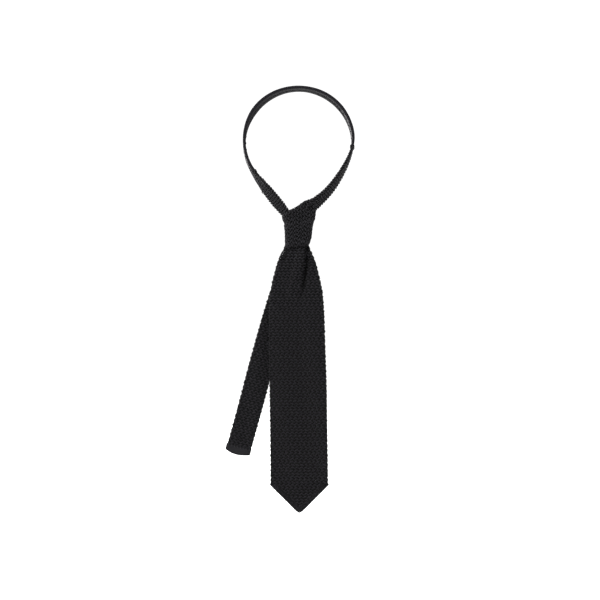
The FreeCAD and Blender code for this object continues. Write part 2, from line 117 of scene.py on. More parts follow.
def profile(*points):
    """Smooth function through (place, value) points that never overshoots them."""
    at, value = np.array(sorted(points), float).T
    gap = np.diff(at)
    rise = np.diff(value) / gap
    slope = np.zeros(len(at))
    same_way = rise[:-1] * rise[1:] > 0
    mean = 2 * rise[:-1] * rise[1:] / np.where(same_way, rise[:-1] + rise[1:], 1)
    slope[1:-1] = np.where(same_way, mean, 0)
    slope[0], slope[-1] = rise[0], rise[-1]

    def curve(place):
        place = np.clip(place, at[0], at[-1])
        i = np.clip(np.searchsorted(at, place, side="right") - 1, 0, len(gap) - 1)
        t = (place - at[i]) / gap[i]
        start = (1 + 2 * t) * (1 - t) ** 2 * value[i] + t * (1 - t) ** 2 * gap[i] * slope[i]
        end = t * t * (3 - 2 * t) * value[i + 1] + t * t * (t - 1) * gap[i] * slope[i + 1]
        return start + end

    return curve


def ripple(s, v, seed):
    """Slow, hand-made unevenness between -1 and 1."""
    a = np.sin(0.31 * s + 0.47 * v + 1.7 * seed)
    b = np.sin(0.83 * s - 0.29 * v + 2.9 * seed)
    c = np.sin(0.17 * s + 1.13 * v + 0.6 * seed)
    return (a + b + c) / 3


def smooth_path(points, spacing=0.5):
    """Evenly spaced points of a smooth curve through the given ones, and its length."""
    points = np.array(points, float)
    chord = run_along(points)
    gap = np.diff(chord)
    count = len(points)
    system = np.eye(count)
    target = np.zeros_like(points)
    for i in range(1, count - 1):
        system[i, i - 1:i + 2] = gap[i - 1], 2 * (gap[i - 1] + gap[i]), gap[i]
        target[i] = 6 * ((points[i + 1] - points[i]) / gap[i] - (points[i] - points[i - 1]) / gap[i - 1])
    bend = np.linalg.solve(system, target)
    fine = np.linspace(0, chord[-1], 4000)
    i = np.clip(np.searchsorted(chord, fine, side="right") - 1, 0, count - 2)
    left, right = (fine - chord[i])[:, None], (chord[i + 1] - fine)[:, None]
    g = gap[i][:, None]
    curve = (bend[i] * right ** 3 + bend[i + 1] * left ** 3) / (6 * g)
    curve += (points[i] / g - bend[i] * g / 6) * right + (points[i + 1] / g - bend[i + 1] * g / 6) * left
    run = run_along(curve)
    even = np.arange(0, run[-1], spacing)
    return np.stack([np.interp(even, run, curve[:, k]) for k in range(2)], axis=1), even


# ---------------- meshes


def end_cap(sides):
    """Quads that close the first ring of a tube."""
    half = np.arange(sides // 2 - 1)
    return np.stack([half, half + 1, sides - 2 - half, sides - 1 - half], axis=-1)


def new_object(name, data):
    """A new object in the scene."""
    made = bpy.data.objects.new(name, data)
    bpy.context.scene.collection.objects.link(made)
    return made


class Cloth:
    """Collects tubes and sleeves, and makes one mesh object of them."""

    def __init__(self):
        self.points, self.quads, self.yarn = [], [], []
        self.count = 0

    def add(self, points, quads, yarn):
        """yarn is each point's place on its thread, and on a tube also its painted shading, for the
        material.
        """
        self.points.append(points.reshape(-1, 3))
        self.quads.append(quads.reshape(-1, 4) + self.count)
        self.yarn.append(yarn.reshape(-1, 3))
        self.count += len(self.points[-1])

    def tube(self, path, normal, radius, sides=6, painted_shading=1.0):
        """A round yarn along a path, closed at both ends. normal is roughly the cloth's, and the painted
        shading
        says how light the yarn is painted: it is painted darker on the side that is turned in, as shade."""
        steps = len(path)
        along = unit(np.gradient(path, axis=0))
        side = unit(np.cross(along, normal))
        up = np.cross(side, along)
        turn = 2 * math.pi * np.arange(sides) / sides
        cos, sin = np.cos(turn)[None, :, None], np.sin(turn)[None, :, None]
        radius = np.broadcast_to(np.asarray(radius, float), (steps,))[:, None, None]
        ring = path[:, None] + radius * (cos * up[:, None] + sin * side[:, None])
        index = np.arange(steps * sides).reshape(steps, sides)
        ahead = np.roll(index, -1, axis=1)
        walls = np.stack([index[:-1], ahead[:-1], ahead[1:], index[1:]], axis=-1).reshape(-1, 4)
        cap = end_cap(sides)
        ends = np.concatenate([cap[:, ::-1], cap + (steps - 1) * sides])
        # Painted shade: each ring is painted darker on the side turned in towards the cloth, and lighter
        # on the side that faces out.
        painted_shading = np.broadcast_to(painted_shading, (steps,))[:, None] * (0.7 + 0.3 * cos[..., 0])
        yarn = points_at(painted_shading * cos[..., 0], painted_shading * sin[..., 0], run_along(path)[:, None])
        self.add(ring, np.concatenate([walls, ends]), yarn)

    def sleeve(self, points):
        """A flat tube of woven cloth over points[along, around], closed at both ends."""
        rows, cols = points.shape[:2]
        index = np.arange(rows * cols).reshape(rows, cols)
        index = np.concatenate([index, index[:, :1]], axis=1)
        quads = np.stack([index[:-1, :-1], index[1:, :-1], index[1:, 1:], index[:-1, 1:]], axis=-1)
        cap = end_cap(cols)
        quads = np.concatenate([quads.reshape(-1, 4), cap, cap[:, ::-1] + (rows - 1) * cols])
        around = run_along(points.swapaxes(0, 1)).T
        self.add(points, quads, points_at(around, 0.0, run_along(points)))

    def finish(self, name, material, slot):
        """Makes the object."""
        points = np.concatenate(self.points)
        quads = np.concatenate(self.quads)
        yarn = np.concatenate(self.yarn)
        mesh = bpy.data.meshes.new(name)
        mesh.vertices.add(len(points))
        mesh.vertices.foreach_set("co", (points * MM).astype(np.float32).ravel())
        mesh.loops.add(quads.size)
        mesh.loops.foreach_set("vertex_index", quads.astype(np.int32).ravel())
        mesh.polygons.add(len(quads))
        mesh.polygons.foreach_set("loop_start", np.arange(0, quads.size, 4, dtype=np.int32))
        mesh.polygons.foreach_set("use_smooth", np.ones(len(quads), bool))
        mesh.update(calc_edges=True)
        attribute = mesh.attributes.new("yarn", "FLOAT_VECTOR", "POINT")
        attribute.data.foreach_set("vector", yarn.astype(np.float32).ravel())
        mesh.materials.append(material)
        piece = new_object(name, mesh)
        return piece


def place_on(surface, s, v, out=1.0, step=0.15):
    """Points and outward normals of a cloth surface at s across and v along."""
    here = surface(s, v)
    across = surface(s + step, v) - surface(s - step, v)
    along = surface(s, v + step) - surface(s, v - step)
    return here, out * unit(np.cross(across, along))


# ---------------- knitting

WALE = 4.68          # one column of stitches
COURSE = 3.05        # one row of stitches
LOOP_REACH = 2.3     # half the height of a loop: it reaches through the row above
LOOP_LEAN = 0.20     # how far a loop narrows at its foot, as a share of the wale
LOOP_PINCH = 0.05    # how far its two legs stand closer than half a wale, likewise
LOOP_RELIEF = 0.45   # how far the head and foot of a loop stand before its legs
YARN = 0.54          # radius of the yarn
LAID_IN = 1.15       # how far the straight yarns lie behind the loops
TUCK_EVERY = 3       # every third row is tucked, and sits between the columns
TUCK_SHIFT = 0.24    # of a wale


class Gauge:
    """How coarse a knit is: size 1 is the body of the tie."""

    def __init__(self, wale=WALE, course=COURSE, size=1.0, relief=LOOP_RELIEF, steps=16):
        self.wale, self.course, self.steps = wale, course, steps
        self.reach, self.relief, self.yarn = LOOP_REACH * size, relief * size, YARN * size
        self.laid_in = LAID_IN * size


def knit(name, surface, first, last, limits, gauge=None, out=1.0, inlay=None, chains=(), thin=None):
    """Rows of interlocking yarn loops over surface(s, v), from v = first to v = last.
    limits(v) gives where a row starts and ends across, and inlay(v) where the two straight
    yarns laid in behind it do. chains are functions of v: where a chain edge runs.
    thin(points) is how much of the yarn's thickness is left where the cloth is stretched."""
    gauge = gauge or Gauge()
    inlay = inlay or limits
    cloth = Cloth()
    for row in range(math.ceil(first / gauge.course), math.ceil(last / gauge.course)):
        middle = row * gauge.course
        low, high = limits(middle)
        if high - low < gauge.wale * 0.4:
            continue
        count = max(6, int((high - low) / gauge.wale * gauge.steps))
        s = np.linspace(low, high, count)
        t = s * 2 * math.pi / gauge.wale
        if row % TUCK_EVERY == 0:
            t = t + TUCK_SHIFT * 2 * math.pi
        edge = ease((s - low) / 1.5) * ease((high - s) / 1.5)
        sway = LOOP_LEAN * np.sin(2 * t) + LOOP_PINCH * np.sin(t)
        s_here = s + gauge.wale * sway * edge + 0.10 * ripple(s, middle, 1)
        v = middle - gauge.reach * (1 + 0.05 * ripple(s, middle, 2)) * np.cos(t)
        lift = gauge.relief * (np.cos(2 * t) - 0.2 * np.cos(t)) + 0.08 * ripple(s, v, 3)
        here, normal = place_on(surface, s_here, v, out)
        radius = gauge.yarn * (1 + 0.05 * ripple(2.1 * s, 1.7 * v, 4))
        if thin:
            radius = radius * thin(here)
        # Painted shade and highlight: the yarn is painted nearly black where it lies deep in a loop, as
        # shade, and lightest where it stands proud.
        raised = 0.5 + 0.5 * np.clip(lift / gauge.relief, -1, 1)
        painted_shading = 0.02 + 0.98 * raised ** 2.2
        cloth.tube(here + normal * lift[:, None], normal, radius, painted_shading=painted_shading)
        low, high = inlay(middle)
        if high - low < gauge.wale:
            continue
        s = np.linspace(low, high, max(5, int((high - low) / gauge.wale * 4)))
        depth = gauge.laid_in * (0.35 + 0.65 * ease((s - low) / 3) * ease((high - s) / 3))
        for share in (0.25, 0.75):
            v = middle + gauge.course * (share + 0.04 * ripple(3 * s, middle, 5))
            here, normal = place_on(surface, s, v, out)
            # Painted shade: the laid-in yarns are painted nearly black, as shade in the holes between
            # the loops.
            cloth.tube(here - normal * depth[:, None], normal, gauge.course * 0.28, 5, painted_shading=0.03)
    for chain in chains:
        v = np.arange(first, last, 1.0)
        s = np.array([chain(place) for place in v]) + 0.3 * np.sin(v * 2.1)
        here, normal = place_on(surface, s, v, out)
        cloth.tube(here + normal * 0.25 * np.cos(v * 2.1)[:, None], normal, gauge.yarn * 1.05)
    return cloth.finish(name, SILK, "knit")


# ---------------- materials


class Nodes:
    """Short calls for building a node material."""

    def __init__(self, name):
        self.material = bpy.data.materials.new(name)
        self.material.use_nodes = True
        self.tree = self.material.node_tree
        self.shader = self.tree.nodes["Principled BSDF"]

    def node(self, kind, inputs=None, **settings):
        made = self.tree.nodes.new(kind)
        for key, value in settings.items():
            setattr(made, key, value)
        self.fill(made, inputs or {})
        return made

    def fill(self, node, inputs):
        """Joins each input of a node to another's output, or gives it a value."""
        for key, value in inputs.items():
            if isinstance(value, bpy.types.NodeSocket):
                self.tree.links.new(value, node.inputs[key])
            else:
                node.inputs[key].default_value = value

    def math(self, operation, *values):
        return self.node("ShaderNodeMath", dict(enumerate(values)), operation=operation).outputs[0]

    def noise(self, scale, detail=3.0):
        place = self.node("ShaderNodeTexCoord").outputs["Object"]
        made = self.node("ShaderNodeTexNoise", {"Scale": scale, "Detail": detail, "Vector": place})
        return made.outputs["Fac"]

    def blend(self, share, first, second):
        inputs = {"Factor": share, "A": first, "B": second}
        return self.node("ShaderNodeMix", inputs, data_type="RGBA").outputs["Result"]

    def bump(self, height, distance, strength, **below):
        inputs = {"Height": height, "Distance": distance, "Strength": strength, **below}
        return self.node("ShaderNodeBump", inputs).outputs["Normal"]

    def yarn(self):
        """Cosine and sine of the angle round the yarn, both times its painted shading, and millimetres
        along it. On a sheet: millimetres across, nothing, and millimetres along."""
        source = self.node("ShaderNodeAttribute", attribute_name="yarn")
        split = self.node("ShaderNodeSeparateXYZ", {0: source.outputs["Vector"]})
        return split.outputs["X"], split.outputs["Y"], split.outputs["Z"]

    def wave(self, place, pace, more=0.0):
        return self.math("SINE", self.math("MULTIPLY_ADD", place, pace, more))

    def ply(self, plies, pace):
        """The plies of a twisted yarn, as a wave round it and along it."""
        cos, sin, along = self.yarn()
        return self.wave(self.math("ARCTAN2", sin, cos), plies, self.math("MULTIPLY", along, pace))

    def finish(self, color, roughness, normal, sheen=0.0, specular=0.5, anisotropic=0.0):
        self.fill(self.shader, {
            "Base Color": color, "Roughness": roughness, "Normal": normal, "Sheen Weight": sheen,
            "Sheen Roughness": 0.45, "Specular IOR Level": specular, "Anisotropic": anisotropic,
        })
        return self.material


def silk_yarn():
    """Dull two-ply silk: plies twist round the yarn, with loose fibres on them."""
    n = Nodes("silk_yarn")
    cos, sin, _ = n.yarn()
    ply = n.ply(2.0, 4.2)
    fibre = n.noise(2600.0, 4.0)
    patch = n.noise(38.0)
    lit = n.math("MULTIPLY_ADD", fibre, 0.5, n.math("MULTIPLY", ply, 0.22))
    color = n.blend(lit, (0.0170, 0.0163, 0.0191, 1), (0.0730, 0.0701, 0.0808, 1))
    color = n.blend(n.math("MULTIPLY", patch, 0.35), color, (0.0250, 0.0240, 0.0279, 1))
    # Painted shade: the colour is blended towards black by the painted shading, darker where the yarn
    # lies deep or turns in, and on the laid-in yarns.
    painted_shading = n.math("SQRT", n.math("MULTIPLY_ADD", cos, cos, n.math("MULTIPLY", sin, sin)))
    color = n.blend(painted_shading, (0.001, 0.001, 0.001, 1), color)
    rough = n.math("MULTIPLY_ADD", fibre, 0.22, 0.46)
    normal = n.bump(fibre, 0.00012, 0.5, Normal=n.bump(ply, 0.00018, 0.8))
    return n.finish(color, rough, normal, sheen=0.02, specular=0.12)


def satin_weave(name, tint, rough):
    """Close satin: long floats along the band, and a fine cross rib."""
    n = Nodes(name)
    across, _, along = n.yarn()
    rib = n.wave(across, 2 * math.pi / 0.42)
    floats = n.wave(along, 2 * math.pi / 0.9, n.math("MULTIPLY", across, 6.3))
    weave = n.math("MULTIPLY", rib, floats)
    patch = n.noise(60.0, 4.0)
    slub = n.noise(900.0)
    dark = tuple(0.7 * c for c in tint) + (1,)
    light = tuple(1.5 * c for c in tint) + (1,)
    shade = n.math("MULTIPLY_ADD", patch, 0.8, n.math("MULTIPLY", weave, 0.2))
    color = n.blend(shade, dark, light)
    roughness = n.math("MULTIPLY_ADD", slub, 0.08, rough)
    normal = n.bump(weave, 0.00005, 0.4)
    n.fill(n.shader, {"IOR": 1.15})
    return n.finish(color, roughness, normal, anisotropic=0.4)


def tape_weave():
    """Plain-woven binding: threads over and under, smoother than the knit."""
    n = Nodes("tape_weave")
    across, _, along = n.yarn()
    pace = 2 * math.pi / 0.55
    weave = n.math("MULTIPLY", n.wave(across, pace), n.wave(along, pace))
    patch = n.noise(90.0)
    shade = n.math("MULTIPLY_ADD", weave, 0.25, patch)
    color = n.blend(shade, (0.0062, 0.0059, 0.0070, 1), (0.0152, 0.0145, 0.0172, 1))
    roughness = n.math("MULTIPLY_ADD", patch, 0.15, 0.5)
    return n.finish(color, roughness, n.bump(weave, 0.00008, 0.6), sheen=0.02, specular=0.12)


def sewing_thread():
    """Three-ply twisted thread."""
    n = Nodes("sewing_thread")
    ply = n.ply(3.0, 8.0)
    shade = n.math("MULTIPLY_ADD", ply, 0.5, 0.5)
    color = n.blend(shade, (0.0065, 0.0063, 0.0074, 1), (0.0180, 0.0173, 0.0202, 1))
    return n.finish(color, 0.45, n.bump(ply, 0.00008, 0.7), specular=0.2)


def wool_canvas():
    """Brushed interlining."""
    n = Nodes("wool_canvas")
    fibre = n.noise(1400.0, 5.0)
    patch = n.noise(120.0)
    color = n.blend(fibre, (0.030, 0.030, 0.031, 1), (0.075, 0.074, 0.076, 1))
    color = n.blend(n.math("MULTIPLY", patch, 0.4), color, (0.045, 0.045, 0.048, 1))
    return n.finish(color, 0.85, n.bump(fibre, 0.0003, 0.8), sheen=0.3, specular=0.2)


SILK = silk_yarn()
SATIN = satin_weave("satin", (0.0098, 0.0093, 0.0116), 0.44)
KEEPER_SATIN = satin_weave("keeper_satin", (0.017, 0.017, 0.019), 0.4)
TAPE = tape_weave()
THREAD = sewing_thread()
CANVAS = wool_canvas()

# ---------------- wide end

# These change with height. First, how far each edge stands from the middle.
LEFT_EDGE = profile((-300, BLADE_HALF), (-110, 29.9), (-76, 29.4), (-61, 27.6), (-45, 23.8),
                    (-29, 18.6), (-22, 14.8), (-12, 11.0))
RIGHT_EDGE = profile((-300, BLADE_HALF), (-170, 29.4), (-128, 28.4), (-96, 27.6), (-70, 25.8),
                     (-53, 22.5), (-36, 18.0), (-27, 14.6), (-21, 12.0), (-12, 9.5))
# How far it hangs to the right of plumb.
DRIFT = profile((-300, 1.5), (-260, 1.4), (-175, 0.5), (-100, 0.0), (-12, 0.0))
# How widely it turns at its edges, and how much its stitches are drawn together.
BLADE_ROUND = profile((-300, 1.05), (-90, 1.05), (-40, 1.6), (-22, 2.0), (-12, 2.0))
GATHER = profile((-300, 1.0), (-90, 1.0), (-22, 0.86), (-12, 0.84))
# The pleat: its height, the crease that ends it, and where it starts to rise.
PLEAT_HEIGHT = profile((-300, 0), (-84, 0), (-66, 1.4), (-44, 3.0), (-32, 2.9), (-20, 2.2), (-12, 0.4))
CREASE_X = profile((-300, 0.0), (-78, 0.8), (-60, 2.9), (-42, 5.2), (-30, 6.1), (-18, 6.4))
PLEAT_LEFT_X = profile((-300, -14), (-76, -14), (-50, -9.0), (-22, -3.4), (-12, -3.0))
TUCKED_IN = 2.4      # how far the wide end falls back as it goes up into the knot
HEM = 1.4            # the knit stops this far inside the point's slanting edges
STRETCHED_Z = -29.0  # the height at which its left edge is stretched most


def blade_relief(x, z):
    """How far the pleat below the knot stands forward: a ridge that ends in a deep crease."""
    rise = ease((x - PLEAT_LEFT_X(z)) / 5.0)
    fall = 1 - ease((x - CREASE_X(z)) / 2.4)
    flap = 0.3 * ease((x - CREASE_X(z) - 2.0) / 8.0)
    crease = -1.3 * np.exp(-((x - CREASE_X(z) - 3.0) / 2.8) ** 2)
    slack = 0.35 * np.sin(x * 0.16 + z * 0.021) * ease((-z - 60) / 60)
    return PLEAT_HEIGHT(z) * (rise * fall + flap + crease) + slack


def scallop(v):
    """Each row of loops swells a little at the cloth's edge."""
    return 0.4 * np.cos(2 * math.pi * v / COURSE) + 0.35 * np.cos(2 * math.pi * v / (1.7 * COURSE))


def flattened(s, left, right, radius, v):
    """Round a flattened tube of knit, where s runs across the face from its middle, round
    either edge, and back behind: the place across, and the angle turned at the edge."""
    side = np.where(s < 0, -1.0, 1.0)
    half = np.where(s < 0, left, right)
    run = np.abs(s)
    turn = np.clip((run - half) / radius, 0, math.pi)
    back = np.maximum(run - half - math.pi * radius, 0)
    return side * (np.minimum(run, half) + (radius + scallop(v)) * np.sin(turn) - back), turn


def blade_parts(z):
    """Half width to where each edge starts to turn, turning radius, and gathering."""
    turn = BLADE_ROUND(z)
    return LEFT_EDGE(z) - turn, RIGHT_EDGE(z) - turn, turn, GATHER(z)


def blade_surface(s, z):
    left, right, radius, gather = blade_parts(z)
    x, turn = flattened(s * gather, left, right, radius, z)
    facing = (1 + np.cos(turn)) / 2
    y = BLADE_MIDDLE - radius * np.cos(turn) - blade_relief(x, z) * (0.25 + 0.75 * facing)
    y = y + TUCKED_IN * ease((z + 30) / 9)
    return points_at(x + DRIFT(z), y, z)


def tip_half(z):
    """Half width of the knit between the point's slanting edges."""
    return z - TIP_Z + 2.0 - HEM


def blade_front_limits(z):
    left, right, radius, gather = blade_parts(z)
    quarter = radius * math.pi / 2
    point = tip_half(z)
    return -min(left + quarter, point) / gather, min(right + quarter, point) / gather


def blade_inlay(limits):
    """The laid-in yarns stop short of the stretched left edge just below the knot."""
    def place(z):
        low, high = limits(z)
        gap = 6.5 * math.exp(-((z - STRETCHED_Z - 0.5) / 6.0) ** 4)
        if low < 0 < high:
            return low + gap, high
        return (low + 0.5, high - gap) if high < 0 else (low, high - 0.5)
    return place


def blade_back_limits(side):
    """Limits of one back flap, from its edge to the seam."""
    def limits(z):
        left, right, radius, gather = blade_parts(z)
        half = left if side < 0 else right
        around = 2 * half + math.pi * radius
        outer = max(half + radius * math.pi / 2, around - tip_half(z)) / gather
        seam = (around - 0.5) / gather
        return (-seam, -outer) if side < 0 else (outer, seam)
    return limits


def seam_edge(side):
    """Where the chain edge of a back flap runs, beside the centre seam."""
    def place(z):
        left, right, radius, gather = blade_parts(z)
        half = left if side < 0 else right
        return side * (2 * half + math.pi * radius - 1.0) / gather
    return place


def stretched(points):
    """The stretched left edge just below the knot, where the yarn is drawn thin."""
    x, z = points[..., 0], points[..., 2]
    inside = x + LEFT_EDGE(z)
    band = np.exp(-((z - STRETCHED_Z) / 6.0) ** 4)
    return 1 - 0.62 * band * ease((7.5 - inside) / 2.0) * ease((inside - 1.6) / 1.0)


def at_height(z):
    """A place on the tie's middle line, in metres."""
    return 0, 0, z * MM


def hang(piece, bodies, bend=None, node=None):
    """Makes a piece ride on one body. Given a bend, its place is only baked into its mesh: it
    rides on neither of the two bodies and does not bend. It may take the place of a CAD node."""
    if bend:
        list(bodies)
        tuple(bend[0])
        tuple(bend[1])
        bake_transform(piece)
    else:
        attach(piece, bodies)
    if node:
        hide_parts(node)


BLADE_BEND = (at_height(BEND_Z + 20), at_height(BEND_Z - 20))
BLADE_STRETCHES = (
    # name, top, bottom, body or the two that it joins, bend, whether it replaces CAD nodes
    ("neck", -13.0, -41.0, ("knot", "blade_neck"), (at_height(-20.0), at_height(-38.0)), True),
    ("upper", -41.0, -101.0, ("blade_neck", "blade_upper"),
     (at_height(LIFT_Z + 11), at_height(LIFT_Z - 13)), True),
    ("middle", -101.0, -186.0, ("blade_upper", "blade_lower"), BLADE_BEND, False),
    ("lower", -186.0, TIP_Z + 2.0, "blade_lower", None, True),
)


def make_blade():
    layers = (
        # name, limits across, chain edge beside the seam
        ("front", blade_front_limits, ()),
        ("back_left", blade_back_limits(-1), (seam_edge(-1),)),
        ("back_right", blade_back_limits(1), (seam_edge(1),)),
    )
    for name, top, bottom, bodies, bend, in_cad in BLADE_STRETCHES:
        thin = stretched if name == "neck" else None
        for layer, limits, edge in layers:
            chains = () if name == "lower" else edge
            piece = knit(f"knit_blade_{name}_{layer}", blade_surface, bottom, top, limits,
                         inlay=blade_inlay(limits), chains=chains, thin=thin)
            hang(piece, bodies, bend, f"blade_{name}_{layer}" if in_cad else None)


HEM_FRONT, HEM_BEHIND = 4.2, 9.5   # how far the hem comes up on the face and on the back
HEM_ROUND = 1.5      # how widely it turns over the edge
HEM_GAUGE = Gauge(wale=2.5, course=1.9, size=0.6, steps=12)
HEM_SHOULDER = BLADE_HALF - 2.0    # how far above the point its slanting edges start
HEM_LENGTH = HEM_SHOULDER * math.sqrt(2)
HEM_CROSSING = 1.9   # the two halves cross by this much at the point
BLUNT = 1.2          # below this height above the point, the hem is pressed flat


def hem_surface(side):
    """One slanting half: v runs down its edge, and s across it from the face to the back."""
    def surface(s, v):
        turn = np.clip(s / HEM_ROUND, 0, math.pi)
        past_edge = np.where(s < 0, -s, np.maximum(s - math.pi * HEM_ROUND, 0))
        inward = (past_edge + HEM_ROUND - HEM_ROUND * np.sin(turn)) / math.sqrt(2)
        along = v / math.sqrt(2)
        x = side * (BLADE_HALF + 0.2 - along - inward)
        z = TIP_Z + HEM_SHOULDER - along + inward
        z = z + 0.8 * np.maximum(TIP_Z + BLUNT - z, 0)
        y = BLADE_MIDDLE - (HEM_ROUND + 0.15) * np.cos(turn)
        return points_at(x + DRIFT(z), y, z)
    return surface


def hem_limits(v):
    """The hem is cut back at both ends of its edge."""
    from_point = max(HEM_LENGTH - v, 0.0) + 3.2
    from_shoulder = v + 0.8
    return -min(HEM_FRONT, from_point, from_shoulder), math.pi * HEM_ROUND + min(HEM_BEHIND, from_point)


def make_tip_hem():
    """The turned-up hem: a close strip of knit folded over both edges of the point."""
    for side, name in ((-1, "left"), (1, "right")):
        piece = knit(f"knit_tip_hem_{name}", hem_surface(side), 0.0, HEM_LENGTH + HEM_CROSSING,
                     hem_limits, HEM_GAUGE, out=-side)
        hang(piece, "blade_lower", node="blade_tip_hem")


# ---------------- narrow end

TAIL_HALF = profile((-250, 12.5), (-225, 12.7), (-165, 12.7), (-130, 12.2), (-80, 10.8), (-22, 7.2),
                    (-10, 6.5))
TAIL_ROUND = 1.0     # how widely it turns at its edges
TAPE_TOP = -TAIL_REACH + 8.8
TAPE_BOTTOM = -TAIL_REACH - 1.0
TAPE_BOW = 2.9       # the tape's foot is this much higher at its ends
TAPE_THICK = 2.3     # half its thickness


def lean(points):
    """Turns points of the narrow end from hanging straight down to its lean."""
    x, y, z = points[..., 0], points[..., 1], points[..., 2]
    cos, sin = math.cos(TAIL_LEAN), math.sin(TAIL_LEAN)
    return np.stack([x * cos + z * sin, y, z * cos - x * sin], axis=-1)


def tail_surface(s, z):
    half = TAIL_HALF(z) - TAIL_ROUND
    x, turn = flattened(s, half, half, TAIL_ROUND, z)
    sway = 0.5 * np.sin((z + 30) * 0.028)
    y = TAIL_MIDDLE - TAIL_ROUND * np.cos(turn) + 0.3 * np.sin(x * 0.3 + z * 0.05)
    return lean(points_at(x + sway, y, z))


def tail_front_limits(z):
    half = TAIL_HALF(z) - TAIL_ROUND + TAIL_ROUND * math.pi / 2
    return -half, half


def tail_back_limits(side):
    def limits(z):
        half = TAIL_HALF(z) - TAIL_ROUND
        outer = half + TAIL_ROUND * math.pi / 2
        seam = 2 * half + math.pi * TAIL_ROUND - 0.4
        return (-seam, -outer) if side < 0 else (outer, seam)
    return limits


def tail_point(z):
    """A place on the narrow end's centre line, in metres."""
    return tuple(lean(np.array([0.0, TAIL_MIDDLE, z])) * MM)


TAIL_SWING = (tail_point(-20.0), tail_point(-44.0))
TAIL_FOLD = (tail_point(-TAIL_BEND_REACH + 20), tail_point(-TAIL_BEND_REACH - 20))


def make_tail():
    inside_tape = -TAIL_REACH + 4.0
    stretches = (
        # name, top, bottom, body or the two that it joins, bend, whether it replaces CAD nodes
        ("upper", -12.0, -52.0, ("knot", "tail_upper"), TAIL_SWING, True),
        ("middle", -52.0, -124.0, ("tail_upper", "tail_lower"), TAIL_FOLD, False),
        ("lower", -124.0, inside_tape, "tail_lower", None, True),
    )
    layers = (
        # name, limits across, the CAD layer it replaces
        ("front", tail_front_limits, "front"),
        ("back_left", tail_back_limits(-1), "back"),
        ("back_right", tail_back_limits(1), "back"),
    )
    for name, top, bottom, bodies, bend, in_cad in stretches:
        for layer, limits, cad_layer in layers:
            piece = knit(f"knit_tail_{name}_{layer}", tail_surface, bottom, top, limits)
            hang(piece, bodies, bend, f"tail_{name}_{cad_layer}" if in_cad else None)


def make_tail_tape():
    """The binding: a woven tape folded over the end, front to back."""
    half = TAIL_HALF(TAPE_TOP) + 0.9
    share = np.linspace(-1, 1, 41)[:, None]
    turn = np.linspace(0, 2 * math.pi, 48, endpoint=False)
    up, out = np.cos(turn), np.sin(turn)
    low = TAPE_BOTTOM + TAPE_BOW * share ** 2 + 0.2 * np.sin(3 * share)
    squeeze = np.sqrt(1 - np.abs(share) ** 14)
    middle, tall = (TAPE_TOP + low) / 2, (TAPE_TOP - low) / 2
    z = middle + tall * np.sign(up) * np.abs(up) ** 0.45 * (0.94 + 0.06 * squeeze)
    thick = TAPE_THICK * (0.86 + 0.14 * np.cos(2.2 * up)) * (0.12 + 0.88 * squeeze)
    y = TAIL_MIDDLE + thick * np.sign(out) * np.abs(out) ** 0.6
    cloth = Cloth()
    cloth.sleeve(lean(points_at(share * half, y, z)))
    piece = cloth.finish("woven_tail_tape", TAPE, "tape")
    hang(piece, "tail_lower", node="tail_end_tape")


# ---------------- neck loop

OPENING = next(m for m in frame["record"]["mounts"] if m["name"] == "neck_opening")
LOOP_CENTRE = np.array(OPENING["pos_m"]) / MM
LOOP_RADIUS = BAND_HIGH[2] - LOOP_CENTRE[2] - 2.6
# The band's middle line: up from inside the knot, over the top, and down into it again.
LEFT_PATH = [(-3.0, -12.0), (-5.0, 0.0), (-8.5, 9.5), (-14.0, 17.0), (-25.5, 31.0), (-39.0, 48.0),
             (-50.4, 65.0)]
RIGHT_PATH = [(50.2, 66.3), (39.6, 48.4), (26.0, 32.6), (14.6, 22.0), (8.6, 12.0), (5.0, 1.0),
              (3.0, -12.0)]
OVER_PATH = [
    (LOOP_CENTRE[0] - (LOOP_RADIUS + 0.9) * math.cos(turn),
     LOOP_CENTRE[2] + (LOOP_RADIUS - 0.4) * math.sin(turn))
    for turn in np.linspace(0, math.pi, 10)
]
LOOP_POINTS, LOOP_RUN = smooth_path(LEFT_PATH + OVER_PATH + RIGHT_PATH)
LOOP_END = LOOP_RUN[-1]
LOOP_ALONG = unit(np.gradient(LOOP_POINTS, axis=0))


def loop_run_at(x, z):
    """Distance along the loop of its point nearest to a place."""
    return LOOP_RUN[np.argmin(np.hypot(LOOP_POINTS[:, 0] - x, LOOP_POINTS[:, 1] - z))]


LEFT_SEAM = loop_run_at(-46.0, 59.0)
RIGHT_SEAM = loop_run_at(57.2, 85.0)
LEFT_TILT = loop_run_at(-28.7, TILT_Z)
RIGHT_TILT = loop_run_at(26.2, TILT_Z)
LOOP_TOP = loop_run_at(LOOP_CENTRE[0], BAND_HIGH[2])

# How far the band's back edge leans outwards, in degrees, along the loop.
BAND_TILT = profile(
    (0, 0), (LEFT_TILT - 18, 33), (LEFT_TILT, 24), (LEFT_SEAM - 12, 14), (LEFT_SEAM + 8, 4),
    (LEFT_SEAM + 34, 2), (LEFT_SEAM + 74, -5), (LOOP_TOP, -1.0), (LOOP_TOP + 44, -3.5),
    (RIGHT_SEAM - 14, -1.0), (RIGHT_SEAM, 2), (RIGHT_SEAM + 22, 8), (RIGHT_TILT - 16, 15),
    (RIGHT_TILT, 21), (RIGHT_TILT + 14, 30), (LOOP_END, 0),
)
